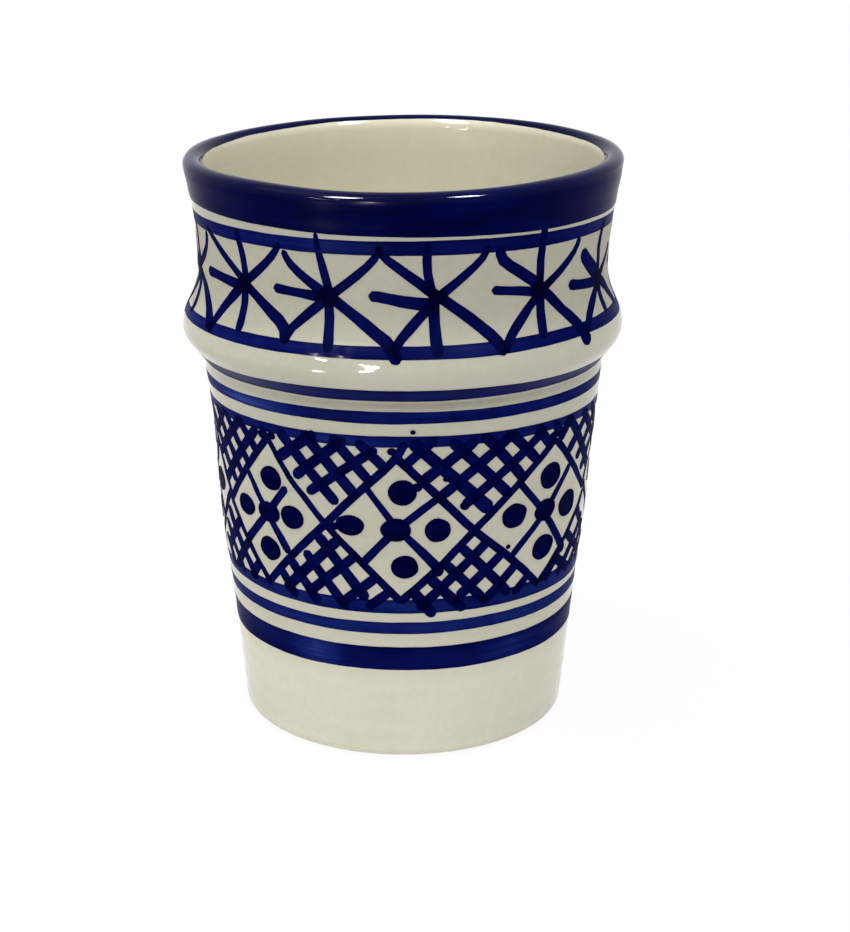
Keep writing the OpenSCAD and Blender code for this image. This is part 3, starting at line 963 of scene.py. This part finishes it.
# %% stars of the front
FRONT_STARS = [
    {"up_right": [(-64.4, 95.8), (-66, 92.6), (-70, 90.3), (-74, 88.6)],
     "down_right": [(-58.6, 79.2), (-65, 83.3), (-73.5, 87.6)],
     "up": [(-76.5, 97.2), (-75, 93), (-74, 88.2)], "up_left": [(-91, 96.5), (-83, 92), (-74, 88)],
     "left": [(-90.5, 88.7), (-82, 88.2), (-75, 87.8)], "down_left": [(-88, 80), (-81, 84), (-74, 88)],
     "down": [(-75, 79.6), (-74.3, 84), (-74, 88)]},
    {"up_left": [(-63.6, 96.7), (-57.8, 94), (-50.8, 90.9), (-46, 88.5)],
     "up": [(-47.7, 98), (-46.7, 95), (-45.7, 91.5), (-45.8, 88.5)],
     "up_right": [(-32.6, 96.8), (-34.9, 94.6), (-39.5, 91.8), (-46.3, 88.5)],
     "left": [(-65.6, 88.5), (-58, 88.4), (-47, 87.8)],
     "down_left": [(-58.5, 78.6), (-57.1, 81.2), (-53, 84.6), (-46.5, 88.2)],
     "down": [(-46.3, 80.1), (-46.2, 84), (-46, 88.4)],
     "down_right": [(-30.4, 79.6), (-31.6, 82.3), (-36.8, 84.6), (-46, 88.5)]},
    {"up_left": [(-31.8, 95.6), (-30.2, 93.6), (-26.6, 91.5), (-19.5, 88.3)],
     "up": [(-22, 99.4), (-21.8, 97.2), (-20.8, 93.9), (-19.5, 90.4), (-18.9, 88.2)],
     "up_right": [(-5.2, 97.5), (-7.2, 95), (-11.3, 92.3), (-19, 88.2)],
     "left": [(-35.5, 88.7), (-28, 88.4), (-19.8, 87.9)],
     "down_left": [(-30.6, 79.6), (-29.4, 82.1), (-24.9, 84.9), (-18.8, 88.3)],
     "down": [(-18.5, 79), (-18.9, 83.5), (-19.2, 88.3)],
     "down_right": [(-1.1, 77.6), (-3.4, 80.6), (-7.5, 82.8), (-12.8, 85.4), (-19, 88.3)]},
    {"up_left": [(-6.4, 97), (-4.4, 95.3), (0, 93), (8.6, 88.7)],
     "up": [(6.1, 98), (6.1, 94.2), (6.7, 91), (7.8, 88.3)],
     "up_right": [(22.1, 97.1), (20.1, 94.6), (15.5, 91.8), (9, 88.4)],
     "left": [(-8.7, 88.7), (-5, 88.45), (0, 87.75), (7.5, 87.1)],
     "down_left": [(-2.2, 79.1), (-1.3, 80.8), (2.6, 83.8), (8.4, 87.9)],
     "down": [(8.6, 78.7), (8.1, 82.5), (7.9, 88.3)],
     "down_right": [(25.4, 78.2), (23.4, 80.9), (17, 84.7), (8.6, 88.8)]},
    {"up_left": [(24.8, 96.5), (26.1, 94.1), (30.4, 92.1), (38.6, 88.6)],
     "up": [(38.4, 99), (38, 94), (38.2, 88.3)],
     "up_right": [(52.8, 95.9), (50.8, 93.3), (45.3, 90.5), (38.6, 87.7)],
     "left": [(23.3, 89), (31, 88.35), (38.5, 87.6)],
     "down_left": [(25.4, 78.6), (28.3, 81.3), (33.3, 84.4), (38.6, 87.8)],
     "down": [(37.5, 79.8), (38.4, 84.5), (38.4, 88.3)],
     "down_right": [(53.2, 76.9), (51.3, 80.4), (46.1, 83.8), (38.5, 88.4)]},
    {"up_left": [(54.9, 93.1), (58.8, 90.7), (67, 87)],
     "up": [(67.7, 97.8), (65.7, 93.8), (66.6, 87.4)],
     "up_right": [(77.5, 92), (72.5, 89), (67, 86.8)],
     "left": [(49.5, 87.6), (58, 86.8), (67, 86.4)],
     "down_left": [(53.9, 79.2), (58.2, 81.8), (62.8, 84), (67.5, 86.6)],
     "down": [(68, 80.5), (67.5, 83.5), (67.1, 86.9)],
     "down_right": [(80, 80.5), (74, 84.2), (67, 86.9)]},
]
# Widths in mm at the tip, in the middle and at the hub, and those that differ
STAR_WIDTHS = {"up_left": (1.3, 1.75, 1.95), "up": (1.45, 1.6, 1.7), "up_right": (1.2, 1.55, 1.75),
               "left": (1.75, 1.75, 2.15), "down_left": (1.45, 1.75, 1.8), "down": (1.95, 1.75, 1.7),
               "down_right": (2.25, 2.0, 1.85)}
OWN_WIDTHS = {(1, "up_left"): (1.3, 1.5, 1.7), (1, "down_left"): (1.8, 1.95, 1.9),
              (2, "up"): (0.75, 1.5, 1.7), (2, "left"): (1.6, 1.6, 1.95),
              (3, "left"): (1.75, 2.0, 2.5), (3, "down"): (2.1, 2.0, 1.9),
              (4, "up_left"): (2.0, 2.0, 2.1), (4, "up"): (1.6, 1.75, 1.8),
              (4, "up_right"): (1.4, 1.55, 1.75), (4, "left"): (1.5, 1.6, 1.9),
              (4, "down"): (2.0, 1.95, 1.8), (4, "down_right"): (3.1, 2.0, 1.9),
              (5, "up_left"): (2.5, 2.8, 2.9), (5, "left"): (1.75, 1.8, 2.2)}

# %% stars of the back, and the row
BACK_STARS, FIRST_BACK, STAR_PITCH, STAR_Z = 7, 94.4, 27.4, 88
# Slips of a hub and of a stroke's points: round the cup in degrees, and up it in mm
HUB_SLIP, POINT_SLIP = (1, 0.5), (0.5, 0.35)
STAR_LOAD, BLOB_PRESS, PAST_HUB, STAR_SEED = 0.68, 1.15, 0.8, 21
STAR_PATTERN = {
    "up_left": [(-14, 8.6), (-11.5, 6), (-6, 3), (0, 0)], "up": [(-2, 9.8), (-1.3, 5), (0, 0)],
    "up_right": [(13.6, 8.7), (11.5, 6.2), (7, 3.4), (0, 0)], "left": [(-16.4, 0.4), (-9, 0), (0, -0.7)],
    "down_left": [(-11, -9), (-9.6, -6.6), (-5.5, -3.6), (0, 0)], "down": [(0.4, -9), (0.2, -4), (0, 0)],
    "down_right": [(17, -10), (14.8, -7.4), (9, -4), (0, 0)]}
star_hand = random.Random(5)


def slipped(hand, point, sizes):
    """A point moved by a slip of the hand, up to one size round the cup and another up it."""
    return tuple(place + hand.uniform(-size, size) for place, size in zip(point, sizes))


back_stars = []
for number in range(BACK_STARS):
    hub = slipped(star_hand, (FIRST_BACK + STAR_PITCH * number, STAR_Z), HUB_SLIP)
    back_stars.append({part: [slipped(star_hand, (hub[0] + a, hub[1] + z), POINT_SLIP) for a, z in points]
                       for part, points in STAR_PATTERN.items()})
front_stars = [{part: as_seen(points) for part, points in star.items()} for star in FRONT_STARS]
star_plans = []
for number, star in enumerate(front_stars + back_stars):
    for layer, (part, points) in enumerate(star.items()):
        widths = OWN_WIDTHS.get((number, part), STAR_WIDTHS[part])
        press = BLOB_PRESS if part == "left" else 1.0
        star_plans.append(stroke(points, widths, STAR_LOAD, layer, press, (0.0, PAST_HUB)))
star_lines = [heights("star_upper_line"), heights("star_lower_line")]
lay_strokes("brushed_stars", "star_row", star_plans, star_lines, STAR_SEED)

# %% [markdown]
# ## Net of diamonds
# Eight large diamonds stand side by side, each with a cross inside. The triangles between
# them are hatched both ways, four strokes each way, which leaves a net of small white
# cells. The front strokes have their own points; the back is hatched by rule, with the same
# small slips of the hand: ends that fall short or run over, and a blob where a brush was
# set down.

# %% long sides and crosses of the front
FRONT_SIDES = [
    [(-43.1, 62.8), (-34.2, 54.4), (-29.1, 50.8), (-22.7, 46.2), (-10.9, 38.8), (-0.6, 32.1)],
    [(-64.3, 45.3), (-51.7, 53.6), (-40.6, 61.1)], [(-64.6, 46.2), (-55.2, 38.8), (-45.2, 31.7)],
    [(-46.3, 32), (-34.1, 39.65), (-23.2, 46.2), (-16.8, 50.4), (-10.3, 54.4), (-2.4, 59.4), (0.5, 62.6)],
    [(-2.6, 60.4), (9.6, 52.6), (21, 45.3), (34.2, 38.4), (46.8, 31.4)],
    [(-0.9, 32.1), (10.7, 38.7), (21.4, 45.5), (33.3, 52), (40.7, 55.8), (48.7, 59.6)],
    [(49, 59.3), (59.5, 53.1), (71.4, 46.4)], [(47.3, 32), (59.2, 38.3), (72.4, 45.5)],
]
FRONT_CROSSES = [
    [(-51.2, 52.9), (-44, 46.2), (-36.4, 39.4)], [(-55, 39.2), (-43.8, 46), (-35.8, 51.8)],
    [(-10.1, 53.9), (-5.6, 49.9), (-1.3, 46.4), (4.9, 42.3), (10.9, 38.2)],
    [(-12.2, 39.3), (-1.6, 46.3), (11.3, 52.8)],
    [(35.2, 53), (46.5, 45.5), (57.6, 37.5)], [(34.6, 39.1), (47, 46.1), (57.4, 53)],
]

# %% hatching of the front
FRONT_DOWN = [
    [(-77, 62), (-59, 49.8)], [(-69, 62.5), (-54, 51.5)], [(-61.5, 62.7), (-50.3, 54.4)],
    [(-53.5, 62.7), (-45.5, 57.2)],
    [(-68, 43.2), (-52.5, 31.6)], [(-72, 40), (-60.5, 31.5)], [(-75, 36.5), (-68, 31.5)],
    [(-36.4, 62.8), (-19, 50.6)], [(-28.4, 63.4), (-13.2, 52.3)], [(-19.8, 63.2), (-8.8, 54.9)],
    [(-12.6, 62.7), (-4.6, 57.7)],
    [(-25.8, 44.2), (-11, 32.4)], [(-30.3, 40.4), (-17.1, 30.3)], [(-37.3, 39.2), (-26.5, 30.6)],
    [(-41, 36.3), (-34.7, 30.8)],
    [(2.3, 62.9), (25.8, 48.8)], [(13.1, 62.8), (33.2, 50.3)], [(22.4, 63.3), (36.9, 53.5)],
    [(30.6, 63), (42.4, 55.9)],
    [(40.1, 62.9), (46.9, 58.3)],
    [(16.6, 42.7), (34.4, 31.5)], [(11.9, 39.7), (26.4, 30.7)], [(6.6, 37.5), (18.9, 29.9)],
    [(1.1, 35.7), (9.4, 29.2)],
    [(54.5, 62.6), (75, 49.6)], [(63, 62.5), (80, 54)], [(71, 62.4), (82, 56.5)],
    [(47.3, 62.6), (52, 59.6)],
    [(67, 43.4), (82, 33.6)], [(60.5, 39.4), (77, 32.2)], [(53.6, 35.9), (65, 31.4)],
]
FRONT_UP = [
    [(-70, 53.4), (-52.5, 62.7)], [(-66.7, 48.7), (-45, 62.1)], [(-72, 57), (-62.5, 62.8)],
    [(-72, 34.5), (-57.5, 43.2)], [(-66, 31.8), (-53.5, 39.8)], [(-55.3, 31.7), (-48.9, 36.2)],
    [(-32.1, 54.6), (-16, 62.9)], [(-27.9, 52), (-7.3, 61.4)], [(-38.1, 57.3), (-24.5, 63.4)],
    [(-38.9, 31.8), (-17.8, 44.4)], [(-30.4, 32.1), (-13.1, 41.3)], [(-19.5, 31), (-7.9, 36.9)],
    [(-11, 30.8), (-4.2, 34)],
    [(-0.3, 58), (9, 63.4)], [(2.4, 54), (20.4, 62.6)], [(10.6, 52.4), (31.4, 62.7)],
    [(17.3, 50.3), (43.4, 62.3)],
    [(4.6, 30.7), (26.4, 43.3)], [(16.8, 32.6), (31.6, 40.3)], [(25.8, 31.2), (37.6, 37.8)],
    [(36.3, 31.1), (43.6, 35.2)],
    [(50.5, 59), (55.1, 62.7)], [(55.7, 55.9), (66.9, 62.1)], [(62.2, 53.9), (76, 61.2)],
    [(66.5, 50.8), (80, 58)],
    [(50, 31.6), (57, 36.4)], [(57.2, 31.5), (74.7, 40.6)], [(66.5, 31.6), (78, 38.6)],
    [(74, 31.6), (81, 35.6)],
]

# %% net of the back by rule
net_low, net_high = heights("lattice_net")
NET_MID = (net_low + net_high) / 2
HATCHES, TIP_OVER, HATCH_OVER = 5, 0.6, 0.8
MEETINGS = (71.2, 116.0, 162.7, 209.3, 256.0, 296.0)
# Slips of the net's points and of its strokes' middles in degrees, and their share in mm up
NET_SLIP, MIDDLE_SLIP, SLIP_UP = 0.5, 0.3, 0.7
net_hand = random.Random(8)


def slip(point, size=NET_SLIP):
    """A point of the net moved by a small slip of the hand, less up than round the cup."""
    return slipped(net_hand, point, (size, SLIP_UP * size))


def between(start, end, share):
    """A point part of the way from one to another."""
    return tuple(s + (e - s) * share for s, e in zip(start, end))


back_sides, back_crosses, back_down, back_up = [], [], [], []
for left, right_end in zip(MEETINGS, MEETINGS[1:]):
    middle = (left + right_end) / 2
    corners = {"left": (left, NET_MID), "right": (right_end, NET_MID),
               "top": (middle, net_high + TIP_OVER), "foot": (middle, net_low - TIP_OVER)}
    for start, end in (("left", "top"), ("left", "foot"), ("top", "right"), ("foot", "right")):
        halfway = between(corners[start], corners[end], 0.5)
        back_sides.append([slip(corners[start]), slip(halfway, MIDDLE_SLIP), slip(corners[end])])
    for pairs in ((("left", "top"), ("foot", "right")), (("left", "foot"), ("top", "right"))):
        start, end = [between(corners[one], corners[other], 0.5) for one, other in pairs]
        back_crosses.append([slip(start), slip((middle, NET_MID), MIDDLE_SLIP), slip(end)])
for before, meeting, after in zip(MEETINGS, MEETINGS[1:], MEETINGS[2:]):
    left_top, right_top = (before + meeting) / 2, (meeting + after) / 2
    for level in (net_high + HATCH_OVER, net_low - HATCH_OVER):
        for share in [i / HATCHES for i in range(1, HATCHES)]:
            from_left = [slip(between((left_top, level), (right_top, level), share)),
                         slip(between((meeting, NET_MID), (right_top, level), share))]
            from_right = [slip(between((right_top, level), (left_top, level), share)),
                          slip(between((meeting, NET_MID), (left_top, level), share))]
            (back_down if level > NET_MID else back_up).append(from_left)
            (back_up if level > NET_MID else back_down).append(from_right)
print("strokes behind:", len(back_sides), len(back_crosses), len(back_down), len(back_up))

# %% where the hatching stops
all_sides = [as_seen(side) for side in FRONT_SIDES] + back_sides


def crossing(start, tip, one, other):
    """How far along start to tip a line meets the piece of line from one to other; 1 when it does not."""
    line, side = np.subtract(tip, start), np.subtract(other, one)
    turned = line[0] * side[1] - line[1] * side[0]
    if abs(turned) < 1e-9:
        return 1.0
    gap = np.subtract(one, start)
    share = (gap[0] * side[1] - gap[1] * side[0]) / turned
    place = (gap[0] * line[1] - gap[1] * line[0]) / turned
    return float(share) if 0 < share < 1 and 0 <= place <= 1 else 1.0


def stopped(points):
    """A hatching stroke, cut at both ends where it meets the first side of a diamond."""
    middle = between(points[0], points[-1], 0.5)
    ends = []
    for tip in (points[0], points[-1]):
        share = min(crossing(middle, tip, *pair) for side in all_sides for pair in zip(side, side[1:]))
        ends.append(between(middle, tip, share))
    return ends


print("one hatching stroke before and after:", FRONT_UP[3], stopped(FRONT_UP[3]))

# %% the whole net
NET_WIDTHS = {"side": 1.5, "cross": 1.8, "down": 2.0, "up": 1.9}
# Widths of single strokes of the front: at the start, in the middle and at the end
OWN_NET_WIDTHS = {("side", 0): (1.2, 1.35, 1.6), ("cross", 0): (1.3, 1.5, 1.9),
                  ("cross", 1): (1.7, 1.6, 1.5), ("cross", 2): (1.15, 1.3, 2.0),
                  ("cross", 3): (1.6, 1.5, 1.4), ("cross", 4): (1.3, 1.5, 1.8),
                  ("cross", 5): (1.5, 1.5, 1.5), ("down", 8): (2.2, 2.2, 2.2),
                  ("down", 15): (2.2, 2.3, 2.8)}
NET_REACH = {"side": 0.2, "cross": 0.4, "down": 0.15, "up": 0.15}
NET_LOAD, WIDTH_CHANGE, NET_PRESS, LAYERS_EACH, NET_SEED = 0.64, 0.08, (0.95, 1.15), 4, 22
net_rows = {"side": all_sides, "cross": [as_seen(points) for points in FRONT_CROSSES] + back_crosses,
            "down": [stopped(points) for points in [as_seen(points) for points in FRONT_DOWN] + back_down],
            "up": [stopped(points) for points in [as_seen(points) for points in FRONT_UP] + back_up]}
net_plans = []
for level, (kind, rows) in enumerate(net_rows.items()):
    for number, points in enumerate(rows):
        width = NET_WIDTHS[kind] * (1 + WIDTH_CHANGE * net_hand.uniform(-1, 1))
        widths = OWN_NET_WIDTHS.get((kind, number), (width, width, width))
        layer = LAYERS_EACH * level + number % LAYERS_EACH
        press, reach = net_hand.uniform(*NET_PRESS), (NET_REACH[kind], NET_REACH[kind])
        net_plans.append(stroke(points, widths, NET_LOAD, layer, press, reach))
net_lines = [heights("lattice_upper_line"), heights("lattice_lower_line")]
lay_strokes("brushed_net", "lattice_net", net_plans, net_lines, NET_SEED)

# %% [markdown]
# ## Dots and blobs
# Each diamond has four dots in its quarters and a blob where its cross meets. A few small
# slips lie beside them, where the loaded brush touched the cup. A brush is pressed down and
# lifted, so a dot is a round film with a slightly lumpy edge. A filled circle is inset once
# and extruded; its points are then laid on the glaze.

# %% dots
# Dots and slips: angle and height, half width in degrees and half height in mm
FRONT_DOTS = [
    (-41.1, 53.05, 4.2, 2.25), (-53.9, 46.1, 4.3, 2), (-34.1, 46.5, 4.2, 2.2),
    (-44.2, 39.05, 4.35, 2.25), (-43.2, 46.3, 4.6, 2.05),
    (-0.2, 53.3, 4, 2.4), (-15.4, 46.7, 4.3, 2), (10, 46, 3.85, 2.25), (0.5, 39, 4.1, 2.25),
    (-2, 46.2, 4.4, 2.2),
    (47.9, 52.65, 4.6, 2.5), (34.3, 46.75, 4.4, 2.4), (58.7, 45.5, 5, 2.55), (47.5, 38.8, 4.8, 2.45),
    (46.8, 46.2, 4.6, 2.1),
]
SLIPS = [
    (-39.3, 61.4, 1.4, 0.75), (10.2, 38.1, 1.9, 1.2), (47.9, 60.45, 2.4, 0.7), (58.3, 36.8, 1.7, 1.0),
    (62.8, 54.1, 1.5, 0.8),
    (17.8, 50.3, 1.5, 0.85), (2.7, 64.6, 0.75, 0.42), (32.8, 40.9, 0.8, 0.42), (-19.9, 46.2, 1.4, 0.7),
    (3.9, 54.3, 1.6, 0.8),
    (-3, 61, 1.3, 0.7), (12.2, 55.7, 1.1, 0.6), (-43.3, 61.2, 1.2, 0.8),
]
DOT_SIDES, DOT_INSET, DOT_LAYER, DOT_LOAD = 22, 0.35, 20, 0.86
DOT_LUMP, LUMP_PACE, LUMP_GAP = 0.07, 1.4, 5.0
# Half a dot's size in the pattern of brush hairs, and the way there from one dot to the next
HAIR_SCALE, HAIR_GAP = 2, 9
# Dots of the back: height of the upper and lower ones, lift of the left one, slip, and the
# range of half widths in degrees and of half heights in mm
QUARTER_Z, LEFT_LIFT, DOT_SLIP, DOT_WIDE, DOT_TALL = 7.2, 0.2, 0.4, (3.9, 4.5), (2.1, 2.5)
back_dots = []
for left, right_end in zip(MEETINGS, MEETINGS[1:]):
    middle, quarter = (left + right_end) / 2, (right_end - left) / 4
    for a, z in ((0, QUARTER_Z), (-quarter, LEFT_LIFT), (quarter, 0), (0, -QUARTER_Z), (0, 0)):
        place = slip((middle + a, NET_MID + z), DOT_SLIP)
        back_dots.append((*place, net_hand.uniform(*DOT_WIDE), net_hand.uniform(*DOT_TALL)))

dots_bm = bmesh.new()
dot_load = dots_bm.verts.layers.float.new("load")
dot_hairs = dots_bm.loops.layers.uv.new("UVMap")
front_dots = [(*as_seen([dot[:2]])[0], *dot[2:]) for dot in FRONT_DOTS + SLIPS]
for number, (dot_angle, dot_z, half_angle, half_z) in enumerate(front_dots + back_dots):
    ring = bmesh.ops.create_circle(dots_bm, cap_ends=True, segments=DOT_SIDES, radius=1.0)["verts"]
    faces = list({face for vertex in ring for face in vertex.link_faces})
    bmesh.ops.inset_region(dots_bm, faces=faces, thickness=DOT_INSET)
    faces = {face for vertex in ring for face in vertex.link_faces} | set(faces)
    film = raised(dots_bm, list(faces))
    lower = {vertex for face in faces if face.is_valid for vertex in face.verts} - film
    for vertex in lower | film:
        flat = vertex.co.copy()
        lump = noise.noise(Vector((LUMP_PACE * flat.x, LUMP_PACE * flat.y, LUMP_GAP * number)))
        grown = 1 + DOT_LUMP * lump
        lift = FILM + LAYER * DOT_LAYER if vertex in film else -SINK
        vertex.co = on_cup(dot_angle + flat.x * half_angle * grown, dot_z + flat.y * half_z * grown, lift)
        vertex[dot_load] = DOT_LOAD
        for loop in vertex.link_loops:
            loop[dot_hairs].uv = (flat.x * HAIR_SCALE + HAIR_GAP * number, flat.y * HAIR_SCALE)
finished("pressed_dots", dots_bm, stroke_blue, "diamond_dots")
